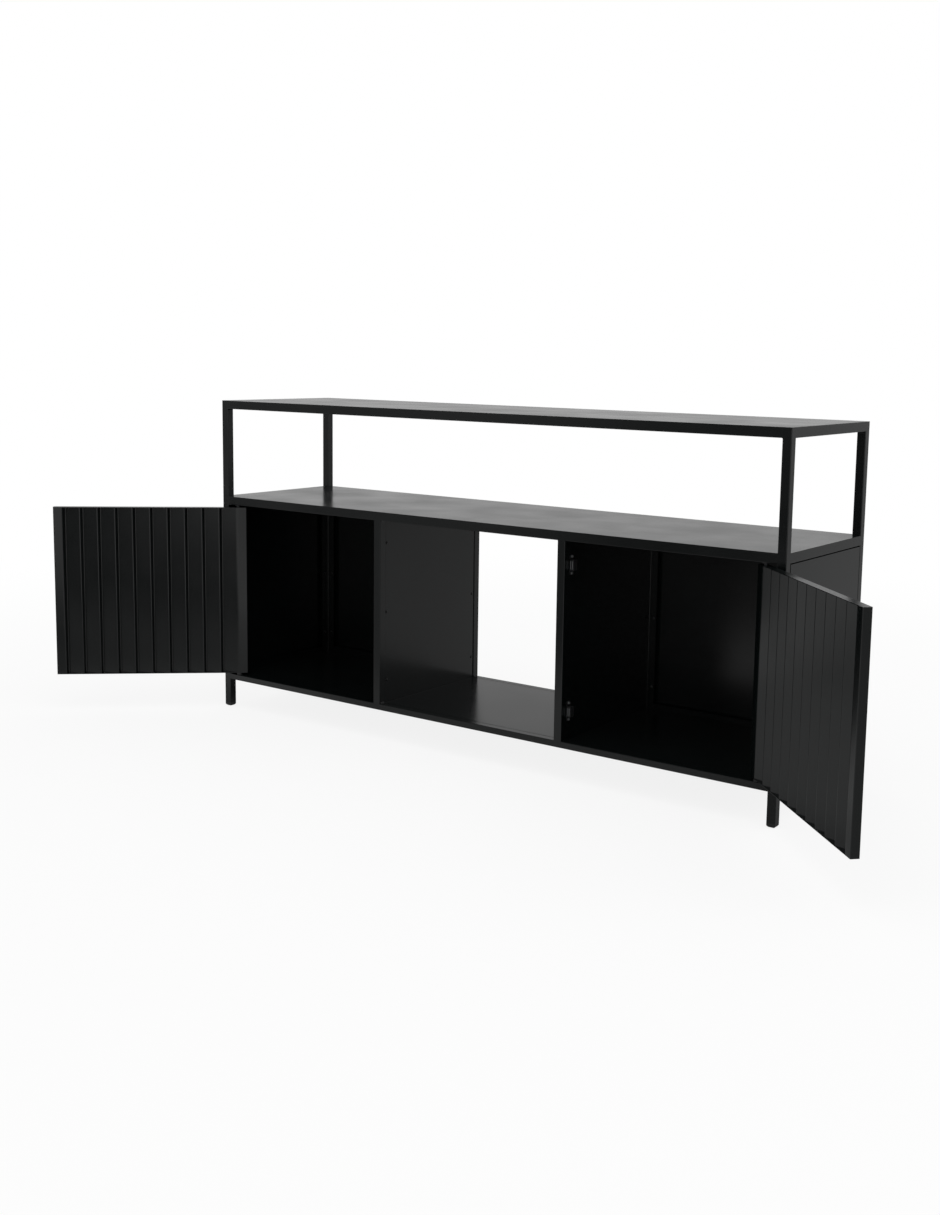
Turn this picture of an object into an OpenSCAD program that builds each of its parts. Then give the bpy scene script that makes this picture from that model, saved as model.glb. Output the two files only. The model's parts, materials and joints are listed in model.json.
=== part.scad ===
// Sideboard buffet: welded square-tube frame with an open bay above three compartments.
// The outer compartments have reeded double-skin doors on pivot pins; the middle one is open
// front and back. All lengths are in millimetres, +Z is up, the front faces -Y.

/* [Overall size] */
// Width over the corner posts
overall_w = 1600; // [1300:10:1900]
// Depth over the corner posts
overall_d = 400; // [340:5:480]
// Clear height under the base frame
leg_h = 75; // [50:5:120]
// Clear height between the base frame and the shelf rails
compartment_h = 452; // [360:4:520]
// Clear height between the shelf and the top rails
bay_h = 228; // [160:4:300]

/* [Frame] */
// Side of the square tube of posts and rails
tube = 20; // [19:1:24]
// Height of the flat tube of the base frame and the top cross rails
base_rail_h = 15; // [14:1:20]
// Wall of the tubes
tube_wall = 1.5; // [1:0.25:2]
// Outer corner radius of the tubes
tube_r = 1.5; // [0.75:0.25:2]
// Thickness of the top sheet and the shelf sheet
deck_t = 1.5; // [1:0.25:2]
// Radius of the weld fillets in the open corners
weld_r = 4; // [2:0.5:5]
// Length of a weld fillet across the tube
weld_l = 13; // [8:1:15]

/* [Foot glides] */
// Height of the glide that shows under a post
glide_h = 10; // [9:1:14]
// Radius of the rounded lower edges of a glide
glide_r = 7.5; // [3:0.5:8.5]
// Length of the plug that sits in the tube
plug_h = 16; // [10:1:24]
// Clearance of the plug in the tube, each side
plug_fit = 0.15; // [0.05:0.05:0.3]

/* [Panels] */
// Thickness of the folded sheet panels
sheet_t = 1.2; // [0.8:0.1:1.5]
// Open joint round a side or back panel
panel_joint = 2; // [1.2:0.2:3]
// Open joint round a floor panel
floor_joint = 0.8; // [0.4:0.1:0.9]
// Depth of the folded edges of a side or back panel
panel_fold = 12; // [9:1:15]
// Width of the lip behind the folded edge
panel_lip = 10; // [8:1:14]
// Thickness of the flat-bar ledges that the panels sit against
ledge_t = 3; // [2:0.5:4]
// Width of the flat-bar ledges
ledge_w = 14; // [12:1:18]
// Thickness of a divider over both sheets
divider_t = 16; // [13:1:17]
// Distance of the first and last panel screw from the ends of its ledge
screw_end = 56; // [30:2:90]

/* [Doors] */
// Thickness of a door
door_t = 18; // [17:0.5:19]
// Open joint round a closed door
door_joint = 6; // [5:0.5:8]
// Distance of the pivot from the hinge edge of the door
pivot_inset = 21.5; // [20:0.5:24]
// Width of the flat band at the hinge edge and at the free edge
door_band = 24.5; // [22:0.5:32]
// Number of reeds across a door
reed_count = 10; // [6:1:14]
// Depth to which a reed of the inner face slopes down before its steep side
reed_depth = 11.5; // [4:0.5:12]
// The same depth for the reeds of the outer face
front_reed_depth = 2.5; // [1:0.5:3]
// Width of the steep side of a reed
reed_riser = 3; // [2:0.5:6]
// Corner radius of the vertical door edges
door_r = 1.5; // [0.5:0.25:2.5]
// Opening angle of the left door as drawn
left_open_angle = 138; // [0:1:142]
// Opening angle of the right door as drawn
right_open_angle = 136.5; // [0:0.5:142]
// Joint line between the front sheet and the rim of the door
rim_joint = 0.2; // [0.1:0.05:0.4]

/* [Door pivots] */
// Diameter of the pivot pins
pin_d = 8; // [6:0.5:9]
// Length of a pin inside the door
pin_in_door = 26; // [18:1:40]
// Length of a pin inside the frame tube
pin_in_tube = 8; // [6:0.5:9]
// Radial running clearance of a pin in its bush
pin_fit = 0.05; // [0.02:0.01:0.1]
// Outer diameter of a bush barrel
bush_d = 12; // [11:0.5:13]
// Diameter of a bush flange
flange_d = 16; // [14:0.5:17]
// Thickness of the flange under the shelf rail
flange_t = 1.5; // [1:0.25:3]
// Running clearance between the door and the lower bush
thrust_gap = 0.3; // [0.2:0.05:0.5]

/* [Magnetic catches] */
// Distance of the lower catch from the lower edge of the door
catch_rise = 58.5; // [40:0.5:90]
// Distance of the upper catch from the upper edge of the door
catch_drop = 49.5; // [40:0.5:90]
// Length of the catch base plate
catch_plate_l = 46; // [42:1:60]
// Distance between the two screws of a catch
catch_pitch = 37; // [33:1:40]
// Length of the magnet housing
housing_l = 24; // [18:1:26]
// Distance that a housing stands into the compartment from the divider post
housing_out = 11; // [9:0.5:14]
// Depth of a housing from front to back
housing_d = 16; // [12:1:20]
// Gap between the magnet and the closed door
magnet_gap = 0.4; // [0.3:0.1:1]

/* [Screws] */
// Diameter of the screw shanks
screw_d = 4; // [3:0.5:4]
// Diameter of the screw heads
screw_head_d = 7; // [6:0.5:7.5]
// Height of the screw heads
screw_head_h = 2; // [1.5:0.25:2.5]
// Length of the screw shanks
screw_l = 7; // [6:0.5:8]

/* [Hidden] */
$fn = 32;

LEFT = -1;
RIGHT = 1;

// Levels of the frame, from the floor upwards
base_top = leg_h + base_rail_h;
shelf_rail_z = base_top + compartment_h;
shelf_rail_top = shelf_rail_z + tube;
shelf_top = shelf_rail_top + deck_t;
top_rail_z = shelf_top + bay_h;
top_rail_top = top_rail_z + tube;
overall_h = top_rail_top + deck_t;

// Plan lines: the left half is drawn at negative x, the front plane is y = 0
left_x = -overall_w / 2;
rail_span = overall_w - 2 * tube;
inner_d = overall_d - 2 * tube;
divider_x = -overall_w / 6;
side_bay_x = left_x + tube;
side_bay_w = divider_x - tube / 2 - side_bay_x;
centre_bay_w = -2 * divider_x - tube;

// Door and pivot
door_w = side_bay_w - 2 * door_joint;
door_z = base_top + door_joint;
door_h = compartment_h - 2 * door_joint;
pivot_x = side_bay_x + door_joint + pivot_inset;
pivot_y = door_t / 2;
free_edge = door_w - pivot_inset;
reed_pitch = (door_w - 2 * door_band) / reed_count;
reed_slope = reed_depth / (reed_pitch - reed_riser);
reed_back = sheet_t * (norm([reed_riser, reed_depth]) - reed_riser) / reed_depth;
reed_clear = 0.3;

// The extreme corner of a rounded, opened door, measured from its pivot
function door_left_reach(angle) =
    (free_edge - door_r) * cos(angle) - (door_t / 2 - door_r) * sin(angle) - door_r;
function door_front_reach(angle) =
    -(free_edge - door_r) * sin(angle) - (door_t / 2 - door_r) * abs(cos(angle)) - door_r;
left_end = min(left_x, pivot_x + door_left_reach(left_open_angle));
right_end = max(-left_x, -pivot_x - door_left_reach(right_open_angle));
front_end = min(0, pivot_y + min(door_front_reach(left_open_angle),
                                 door_front_reach(right_open_angle)));

// The origin lies under the middle of the whole part, as drawn
shift_x = -(left_end + right_end) / 2;
shift_y = -(front_end + overall_d) / 2;

// Dividers, ledges and screws
divider_face = divider_t / 2;
divider_y = tube + panel_joint;
divider_d = inner_d - 2 * panel_joint;
divider_top_gap = 0.5;
divider_h = compartment_h - divider_top_gap;
cover_lip_y = divider_y + panel_lip / 2 + sheet_t / 2;
screw_rows = [for (i = [0:2]) base_top + screw_end + i * (compartment_h - 2 * screw_end) / 2];
screw_fit = 0.1;
lip_screw = (panel_joint + sheet_t + min(ledge_w, panel_joint + panel_lip)) / 2;

// Magnetic catches
catch_levels = [door_z + catch_rise, door_z + door_h - catch_drop];
catch_face_x = tube / 2 - divider_face;
catch_post_gap = 0.3;
catch_plate_t = catch_face_x + catch_post_gap;
housing_front = door_t + magnet_gap;
housing_rear = housing_front + housing_d;
catch_screw_y = housing_rear - housing_d / 3;
magnet_t = 5;
magnet_w = 6;
magnet_end = 3;
magnet_l = housing_l - 2 * magnet_end;
magnet_proud = 0.3;
catch_plate_y = divider_y + catch_post_gap;
catch_plate_tail = 2;

// Colours
powder_black = [0.055, 0.056, 0.058];
sheet_black = [0.07, 0.071, 0.074];
plastic_black = [0.04, 0.04, 0.042];
catch_grey = [0.42, 0.43, 0.44];
steel = [0.6, 0.6, 0.6];

// ---------------------------------------------------------------- helpers

// Moves a piece from the cabinet's own plan lines to the part's origin
module placed() {
    translate([shift_x, shift_y, 0])
        children();
}

// Draws a piece of the left half on the left, or mirrored on the right
module on_side(side) {
    if (side == LEFT) {
        children();
    } else {
        mirror([1, 0, 0])
            children();
    }
}

// Rectangle with rounded corners, from the origin
module rounded_rect(w, h, r) {
    translate([r, 0])
        square([w - 2 * r, h]);
    translate([0, r])
        square([w, h - 2 * r]);
    for (x = [r, w - r], y = [r, h - r]) {
        translate([x, y])
            circle(r);
    }
}

// Section of a rectangular tube, from the origin
module tube_section(w, h) {
    difference() {
        rounded_rect(w, h, tube_r);
        translate([tube_wall, tube_wall])
            square([w - 2 * tube_wall, h - 2 * tube_wall]);
    }
}

// Tube along +X, w deep and h high
module tube_x(length, w, h) {
    rotate([90, 0, 90])
        linear_extrude(length)
            tube_section(w, h);
}

// Tube along +Y, w wide and h high
module tube_y(length, w, h) {
    translate([0, length, 0])
        rotate([90, 0, 0])
            linear_extrude(length)
                tube_section(w, h);
}

// Tube along +Z
module tube_z(length, w, h) {
    linear_extrude(length)
        tube_section(w, h);
}

// Folded sheet panel, face down on z = 0 and open upwards: edges of the given depth with a lip
module folded_panel(w, h, depth, lip) {
    difference() {
        linear_extrude(depth)
            rounded_rect(w, h, sheet_t / 2);
        translate([sheet_t, sheet_t, sheet_t])
            cube([w - 2 * sheet_t, h - 2 * sheet_t, depth - 2 * sheet_t]);
        translate([lip, lip, sheet_t])
            cube([w - 2 * lip, h - 2 * lip, depth]);
    }
}

// Pan-head screw, head on z = 0 and shank along -Z
module screw(length) {
    translate([0, 0, -length])
        cylinder(h = length + screw_head_h / 2, d = screw_d);
    difference() {
        cylinder(h = screw_head_h, d = screw_head_d);
        translate([0, 0, screw_head_h * 0.6])
            cylinder(h = screw_head_h, d = screw_d * 0.7, $fn = 6);
    }
}

// Hole for a screw shank, along -Z from z = 0
module screw_hole(length) {
    translate([0, 0, -length])
        cylinder(h = 2 * length, d = screw_d + 2 * screw_fit);
}

// Concave weld fillet in the corner of +X and +Y, weld_l long along +Z
module fillet() {
    difference() {
        cube([weld_r, weld_r, weld_l]);
        translate([weld_r, weld_r, -1])
            cylinder(h = weld_l + 2, r = weld_r);
    }
}

// ---------------------------------------------------------------- frame

module corner_post(side, y) {
    color(powder_black)
        placed()
            on_side(side)
                translate([left_x, y, glide_h])
                    tube_z(top_rail_top - glide_h, tube, tube);
}

// Outline of a glide seen from the side, with rounded lower corners
module glide_outline() {
    translate([glide_r, 0])
        square([tube - 2 * glide_r, glide_h]);
    translate([0, glide_r])
        square([tube, glide_h - glide_r]);
    for (x = [glide_r, tube - glide_r]) {
        translate([x, glide_r])
            circle(glide_r);
    }
}

module foot_glide() {
    plug_w = tube - 2 * tube_wall - 2 * plug_fit;
    intersection() {
        rotate([90, 0, 90])
            linear_extrude(tube)
                glide_outline();
        translate([0, tube, 0])
            rotate([90, 0, 0])
                linear_extrude(tube)
                    glide_outline();
        linear_extrude(glide_h)
            rounded_rect(tube, tube, tube_r);
    }
    translate([(tube - plug_w) / 2, (tube - plug_w) / 2, glide_h / 2])
        cube([plug_w, plug_w, glide_h / 2 + plug_h]);
}

module foot_glides() {
    color(plastic_black)
        placed()
            for (side = [LEFT, RIGHT], y = [0, overall_d - tube]) {
                on_side(side)
                    translate([left_x, y, 0])
                        foot_glide();
            }
}

// Rail along X between two corner posts
module long_rail(y, z, h) {
    color(powder_black)
        placed()
            translate([left_x + tube, y, z])
                tube_x(rail_span, tube, h);
}

// Rail along Y between a front and a rear corner post
module end_rail(side, z, h) {
    color(powder_black)
        placed()
            on_side(side)
                translate([left_x, tube, z])
                    tube_y(inner_d, tube, h);
}

// Two rails from front to back in line with the dividers
module cross_rails(z, h) {
    color(powder_black)
        placed()
            for (side = [LEFT, RIGHT]) {
                on_side(side)
                    translate([divider_x - tube / 2, tube, z])
                        tube_y(inner_d, tube, h);
            }
}

module top_front_rail() {
    long_rail(0, top_rail_z, tube);
}

module top_rear_rail() {
    long_rail(overall_d - tube, top_rail_z, tube);
}

module top_cross_rails() {
    cross_rails(top_rail_top - base_rail_h, base_rail_h);
}

module top_panel() {
    color(sheet_black)
        placed()
            translate([left_x, 0, top_rail_top])
                linear_extrude(deck_t)
                    rounded_rect(overall_w, overall_d, tube_r);
}

// Cut for the barrels of both pivot bushes through the rail wall that ends at a level
module bush_holes(z_wall) {
    for (side = [LEFT, RIGHT]) {
        on_side(side)
            translate([pivot_x, pivot_y, z_wall - tube_wall])
                cylinder(h = 3 * tube_wall, r = bush_d / 2 + pin_fit);
    }
}

module shelf_front_rail() {
    color(powder_black)
        placed()
            difference() {
                translate([left_x + tube, 0, shelf_rail_z])
                    tube_x(rail_span, tube, tube);
                bush_holes(shelf_rail_z);
            }
}

module shelf_rear_rail() {
    long_rail(overall_d - tube, shelf_rail_z, tube);
}

module shelf_cross_rails() {
    cross_rails(shelf_rail_z, tube);
}

// Shelf sheet, notched round the four posts
module shelf_panel() {
    notch = tube + plug_fit;
    color(sheet_black)
        placed()
            translate([left_x, 0, shelf_rail_top])
                linear_extrude(deck_t)
                    difference() {
                        square([overall_w, overall_d]);
                        for (x = [-tube, overall_w - notch], y = [-tube, overall_d - notch]) {
                            translate([x, y])
                                square([notch + tube, notch + tube]);
                        }
                    }
}

module base_front_rail() {
    color(powder_black)
        placed()
            difference() {
                translate([left_x + tube, 0, leg_h])
                    tube_x(rail_span, tube, base_rail_h);
                bush_holes(base_top - tube_wall);
            }
}

module base_rear_rail() {
    long_rail(overall_d - tube, leg_h, base_rail_h);
}

module base_cross_rails() {
    cross_rails(leg_h, base_rail_h);
}

// Weld fillets in the corners of the middle compartment and under the top rails of the bay;
// the shelf sheet covers the welds at the foot of the bay
module weld_fillets() {
    across = (tube - weld_l) / 2;
    color(powder_black)
        placed()
            for (side = [LEFT, RIGHT]) {
                on_side(side) {
                    for (y = [across, overall_d - tube + across]) {
                        upper_fillet(left_x + tube, y, top_rail_z);
                        upper_fillet(divider_x + tube / 2, y, shelf_rail_z);
                        lower_fillet(divider_x + tube / 2, y, base_top);
                    }
                    translate([left_x + across, tube, top_rail_z])
                        end_fillet();
                    translate([left_x + across, overall_d - tube, top_rail_z])
                        mirror([0, 1, 0])
                            end_fillet();
                }
            }
}

// Fillet under a rail, beside a post face that looks along +X
module upper_fillet(x, y, z) {
    translate([x, y, z])
        rotate([-90, 0, 0])
            fillet();
}

// Fillet on a rail, beside a post face that looks along +X
module lower_fillet(x, y, z) {
    translate([x, y + weld_l, z])
        rotate([90, 0, 0])
            fillet();
}

// Fillet under a rail that runs along +Y, beside a post face that looks along +Y
module end_fillet() {
    mirror([0, 0, 1])
        rotate([90, 0, 90])
            fillet();
}

// ---------------------------------------------------------------- floor

// Floor panel, level with the base frame, over the plan length from x0
module floor_panel(x0, length) {
    color(sheet_black)
        placed()
            translate([x0 + floor_joint, overall_d - tube - floor_joint, base_top])
                rotate([180, 0, 0])
                    folded_panel(length - 2 * floor_joint, inner_d - 2 * floor_joint,
                                 base_rail_h - ledge_t, panel_lip);
}

module left_floor_panel() {
    floor_panel(side_bay_x, side_bay_w);
}

module centre_floor_panel() {
    floor_panel(divider_x + tube / 2, centre_bay_w);
}

module right_floor_panel() {
    floor_panel(-side_bay_x - side_bay_w, side_bay_w);
}

// Flat bars round one field, flush with the underside of the base frame
module floor_ledge_ring(x0, length) {
    for (y = [tube, overall_d - tube - ledge_w]) {
        translate([x0, y, leg_h])
            cube([length, ledge_w, ledge_t]);
    }
    for (x = [x0, x0 + length - ledge_w]) {
        translate([x, tube + ledge_w, leg_h])
            cube([ledge_w, inner_d - 2 * ledge_w, ledge_t]);
    }
}

module floor_ledges() {
    color(powder_black)
        placed() {
            floor_ledge_ring(side_bay_x, side_bay_w);
            floor_ledge_ring(divider_x + tube / 2, centre_bay_w);
            floor_ledge_ring(-side_bay_x - side_bay_w, side_bay_w);
        }
}

// ---------------------------------------------------------------- dividers

module divider_post(side, y) {
    color(powder_black)
        placed()
            on_side(side)
                translate([divider_x - tube / 2, y, base_top])
                    tube_z(compartment_h, tube, tube);
}

// Sheet pan of a divider: its face looks into the side compartment
module divider_pan(side) {
    pan_t = divider_t - sheet_t;
    color(sheet_black)
        placed()
            on_side(side)
                difference() {
                    translate([divider_x - divider_face, divider_y, base_top + divider_h])
                        rotate([0, 90, 0])
                            folded_panel(divider_h, divider_d, pan_t, panel_lip);
                    divider_cover_screws()
                        screw_hole(screw_l);
                    catch_screws_of_side()
                        screw_hole(screw_l);
                }
}

// Flat sheet that closes a divider towards the middle compartment
module divider_cover(side) {
    color(sheet_black)
        placed()
            on_side(side)
                difference() {
                    translate([divider_x + divider_face - sheet_t, divider_y, base_top])
                        cube([sheet_t, divider_d, divider_h]);
                    divider_cover_screws()
                        screw_hole(screw_l);
                }
}

// Places its child at each cover screw, pointing out of the cover
module divider_cover_screws() {
    for (y = [cover_lip_y, overall_d - cover_lip_y], z = screw_rows) {
        translate([divider_x + divider_face, y, z])
            rotate([0, 90, 0])
                children();
    }
}

// ---------------------------------------------------------------- side and back panels

// Side panel, its face flush with the outer faces of the posts
module side_panel(side) {
    height = compartment_h - 2 * panel_joint;
    color(sheet_black)
        placed()
            on_side(side)
                difference() {
                    translate([left_x, tube + panel_joint, base_top + panel_joint + height])
                        rotate([0, 90, 0])
                            folded_panel(height, inner_d - 2 * panel_joint, panel_fold, panel_lip);
                    side_panel_screws()
                        screw_hole(screw_l);
                }
}

// Back panel, its face flush with the rear faces of the posts
module back_panel(side) {
    height = compartment_h - 2 * panel_joint;
    color(sheet_black)
        placed()
            on_side(side)
                difference() {
                    translate([side_bay_x + panel_joint, overall_d, base_top + panel_joint])
                        rotate([90, 0, 0])
                            folded_panel(side_bay_w - 2 * panel_joint, height,
                                         panel_fold, panel_lip);
                    back_panel_screws()
                        screw_hole(screw_l);
                }
}

// Places its child at each side panel screw, pointing into the compartment
module side_panel_screws() {
    for (y = [tube + lip_screw, overall_d - tube - lip_screw], z = screw_rows) {
        translate([left_x + panel_fold + ledge_t, y, z])
            rotate([0, 90, 0])
                children();
    }
}

// Places its child at each back panel screw, pointing into the compartment
module back_panel_screws() {
    for (x = [side_bay_x + lip_screw, side_bay_x + side_bay_w - lip_screw], z = screw_rows) {
        translate([x, overall_d - panel_fold - ledge_t, z])
            rotate([90, 0, 0])
                children();
    }
}

// Flat bars behind the edges of the side panels
module side_panel_ledges() {
    x = left_x + panel_fold;
    color(powder_black)
        placed()
            for (side = [LEFT, RIGHT]) {
                on_side(side)
                    difference() {
                        union() {
                            for (y = [tube, overall_d - tube - ledge_w]) {
                                translate([x, y, base_top])
                                    cube([ledge_t, ledge_w, compartment_h]);
                            }
                            for (z = [base_top, shelf_rail_z - ledge_w]) {
                                translate([x, tube + ledge_w, z])
                                    cube([ledge_t, inner_d - 2 * ledge_w, ledge_w]);
                            }
                        }
                        side_panel_screws()
                            screw_hole(screw_l);
                    }
            }
}

// Flat bars behind the edges of the back panels
module back_panel_ledges() {
    y = overall_d - panel_fold - ledge_t;
    color(powder_black)
        placed()
            for (side = [LEFT, RIGHT]) {
                on_side(side)
                    difference() {
                        union() {
                            for (x = [side_bay_x, side_bay_x + side_bay_w - ledge_w]) {
                                translate([x, y, base_top])
                                    cube([ledge_w, ledge_t, compartment_h]);
                            }
                            for (z = [base_top, shelf_rail_z - ledge_w]) {
                                translate([side_bay_x + ledge_w, y, z])
                                    cube([side_bay_w - 2 * ledge_w, ledge_t, ledge_w]);
                            }
                        }
                        back_panel_screws()
                            screw_hole(screw_l);
                    }
            }
}

module panel_screws() {
    color(plastic_black)
        placed()
            for (side = [LEFT, RIGHT]) {
                on_side(side) {
                    side_panel_screws()
                        screw(screw_l);
                    back_panel_screws()
                        screw(screw_l);
                    divider_cover_screws()
                        screw(screw_l);
                }
            }
}

// ---------------------------------------------------------------- pivots

// Flanged bush: barrel from z = 0 downwards, flange from z = 0 upwards
module pivot_bush(barrel_h, flange_h) {
    bore = pin_d / 2 + pin_fit;
    rotate_extrude()
        polygon([
            [bore, -barrel_h], [bush_d / 2, -barrel_h], [bush_d / 2, 0],
            [flange_d / 2, 0], [flange_d / 2, flange_h], [bore, flange_h]
        ]);
}

// Upper bushes: flange under the shelf rail, barrel up inside it
module upper_pivot_bushes() {
    color(plastic_black)
        placed()
            for (side = [LEFT, RIGHT]) {
                on_side(side)
                    translate([pivot_x, pivot_y, shelf_rail_z])
                        mirror([0, 0, 1])
                            pivot_bush(pin_in_tube + 1, flange_t);
            }
}

// Lower bushes: barrel down inside the base rail, tall flange that carries the door
module lower_pivot_bushes() {
    color(plastic_black)
        placed()
            for (side = [LEFT, RIGHT]) {
                on_side(side)
                    translate([pivot_x, pivot_y, base_top])
                        pivot_bush(pin_in_tube + 1, door_joint - thrust_gap);
            }
}

// ---------------------------------------------------------------- magnetic catches

// Places its child at each catch, at the middle of its seat on the divider
module at_catches() {
    for (z = catch_levels) {
        translate([divider_x - divider_face, 0, z])
            children();
    }
}

// Places its child at each catch screw of one side, pointing into the compartment
module catch_screws_of_side() {
    at_catches()
        for (z = [-catch_pitch / 2, catch_pitch / 2]) {
            translate([-catch_plate_t, catch_screw_y, z])
                rotate([0, -90, 0])
                    children();
        }
}

module catch_plates() {
    color(catch_grey)
        placed()
            for (side = [LEFT, RIGHT]) {
                on_side(side)
                    difference() {
                        at_catches()
                            translate([-catch_plate_t, catch_plate_y, -catch_plate_l / 2])
                                cube([catch_plate_t,
                                      housing_rear - catch_plate_y + catch_plate_tail,
                                      catch_plate_l]);
                        catch_screws_of_side()
                            screw_hole(screw_l);
                    }
            }
}

module catch_housings() {
    reach = catch_face_x + housing_out;
    slot_x = -reach + (reach - catch_plate_t - magnet_w) / 2;
    color(catch_grey)
        placed()
            for (side = [LEFT, RIGHT]) {
                on_side(side)
                    at_catches()
                        difference() {
                            translate([-reach, housing_front + magnet_proud, -housing_l / 2])
                                cube([reach - catch_plate_t, housing_d - magnet_proud, housing_l]);
                            translate([slot_x, housing_front - 1, -magnet_l / 2])
                                cube([magnet_w, magnet_t + 1, magnet_l]);
                        }
            }
}

module catch_magnets() {
    reach = catch_face_x + housing_out;
    slot_x = -reach + (reach - catch_plate_t - magnet_w) / 2;
    color(steel)
        placed()
            for (side = [LEFT, RIGHT]) {
                on_side(side)
                    at_catches()
                        translate([slot_x, housing_front, -magnet_l / 2])
                            cube([magnet_w, magnet_t, magnet_l]);
            }
}

module catch_screws() {
    color(steel)
        placed()
            for (side = [LEFT, RIGHT]) {
                on_side(side)
                    catch_screws_of_side()
                        screw(screw_l);
            }
}

// ---------------------------------------------------------------- doors

// Draws a piece of a closed left door, with its pivot at x = y = 0, where the door stands open
module in_door(side) {
    angle = side == LEFT ? left_open_angle : right_open_angle;
    placed()
        on_side(side)
            translate([pivot_x, pivot_y, 0])
                rotate([0, 0, -angle])
                    children();
}

// Points of a reeded sheet's face, from one x to another, as depths below the flat bands
function reed_line(x_start, x_end, depth) = concat(
    [[x_start, 0]],
    [for (i = [0:reed_count - 1], p = [[0, 0], [reed_pitch - reed_riser, depth]])
        [door_band - pivot_inset + i * reed_pitch, 0] + p],
    [[free_edge - door_band, 0], [x_end, 0]]
);

// Direction across a sheet, from its face to its back, between two points of its face
function across(a, b) = [a[1] - b[1], b[0] - a[0]] / norm(b - a);

// Point of a sheet's back behind the corner where two directions across it meet
function behind(point, before, after) =
    point + sheet_t * (before + after) / (1 + before * after);

// Points of the back of a reeded sheet, one behind each point of its face
function back_line(face) =
    let (last = len(face) - 1)
    [for (i = [0:last])
        behind(face[i],
               across(face[max(i, 1) - 1], face[max(i, 1)]),
               across(face[min(i, last - 1)], face[min(i, last - 1) + 1]))];

// Section of a reeded sheet: its face at y = level, its thickness towards the middle of the door
module reed_section(x_start, x_end, depth) {
    face = reed_line(x_start, x_end, depth);
    back = back_line(face);
    last = len(face) - 1;
    polygon(concat(
        [for (p = face) [p[0], door_t / 2 - p[1]]],
        [for (i = [0:last]) [back[last - i][0], door_t / 2 - back[last - i][1]]]
    ));
}

// Pan of a door: reeded inner sheet, two folded edges and the closed ends
module door_pan(side) {
    color(sheet_black)
        in_door(side) {
            difference() {
                translate([-pivot_inset, -door_t / 2, door_z])
                    linear_extrude(door_h)
                        rounded_rect(door_w, door_t, door_r);
                // hollow between the ends, open at the front, down to the back of the reeded sheet
                translate([0, 0, door_z + sheet_t])
                    linear_extrude(door_h - 2 * sheet_t)
                        difference() {
                            translate([-pivot_inset + sheet_t, -door_t])
                                square([door_w - 2 * sheet_t, 2 * door_t]);
                            reed_section(-pivot_inset, free_edge, reed_depth);
                            reed_face_waste();
                        }
                // grooves of the visible face, closed off at the upper and lower ends
                translate([0, 0, door_z + sheet_t])
                    linear_extrude(door_h - 2 * sheet_t)
                        reed_face_waste();
                // passage of the pivot pins
                translate([0, 0, door_z - 1])
                    cylinder(h = door_h + 2, r = pin_d / 2 + screw_fit);
            }
        }
}

// Everything in front of the reeded face
module reed_face_waste() {
    face = reed_line(-pivot_inset, free_edge, reed_depth);
    polygon(concat([for (p = face) [p[0], door_t / 2 - p[1]]],
                   [[free_edge, door_t], [-pivot_inset, door_t]]));
}

// Reeded front sheet, flush inside the rim of the pan
module door_front_sheet(side) {
    inset = sheet_t + rim_joint;
    color(sheet_black)
        in_door(side)
            translate([0, 0, door_z + inset])
                linear_extrude(door_h - 2 * inset)
                    mirror([0, 1])
                        reed_section(-pivot_inset + inset, free_edge - inset,
                                     front_reed_depth);
}

// Bar at the hinge edge, bored at both ends for the pivot pins
module door_hinge_stile(side) {
    width = pivot_inset + pin_d - sheet_t;
    into_reed = width + sheet_t + rim_joint - door_band;
    side_gap = reed_slope * into_reed + sheet_t * norm([1, reed_slope]) + reed_clear;
    depth = door_t - 2 * side_gap;
    length = door_h - 2 * sheet_t - 2 * rim_joint;
    pocket = length - 2 * (pin_in_door + pin_d);
    color(powder_black)
        in_door(side)
            translate([0, 0, door_z + sheet_t + rim_joint])
                difference() {
                    translate([-pivot_inset + sheet_t + rim_joint, -depth / 2, 0])
                        cube([width, depth, length]);
                    translate([-pivot_inset + sheet_t + rim_joint + tube_wall,
                               -depth / 2 + tube_wall, (length - pocket) / 2])
                        cube([width, depth - 2 * tube_wall, pocket]);
                    for (z = [-1, length - pin_in_door]) {
                        translate([0, 0, z])
                            cylinder(h = pin_in_door + 1, r = pin_d / 2 + pin_fit);
                    }
                }
}

// Channel behind the flat band at the free edge, where the magnets pull
module door_latch_stile(side) {
    width = door_band - sheet_t - rim_joint - reed_back - reed_clear;
    depth = door_t - 2 * sheet_t - 2 * rim_joint;
    length = door_h - 2 * sheet_t - 2 * rim_joint;
    color(powder_black)
        in_door(side)
            translate([free_edge - sheet_t - rim_joint - width, -depth / 2,
                       door_z + sheet_t + rim_joint])
                difference() {
                    cube([width, depth, length]);
                    translate([-tube_wall, tube_wall, -1])
                        cube([width, depth - 2 * tube_wall, length + 2]);
                }
}

// Pivot pin with chamfered ends, from z = 0 upwards
module pivot_pin(length) {
    r = pin_d / 2;
    chamfer = r / 5;
    rotate_extrude()
        polygon([
            [0, 0], [r - chamfer, 0], [r, chamfer],
            [r, length - chamfer], [r - chamfer, length], [0, length]
        ]);
}

module door_pivot_pins(side) {
    lead = door_joint + pin_in_tube;
    seat = sheet_t + rim_joint + pin_in_door - reed_clear;
    color(steel)
        in_door(side) {
            translate([0, 0, door_z - lead])
                pivot_pin(lead + seat);
            translate([0, 0, door_z + door_h - seat])
                pivot_pin(seat + lead);
        }
}

// ---------------------------------------------------------------- nodes

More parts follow.
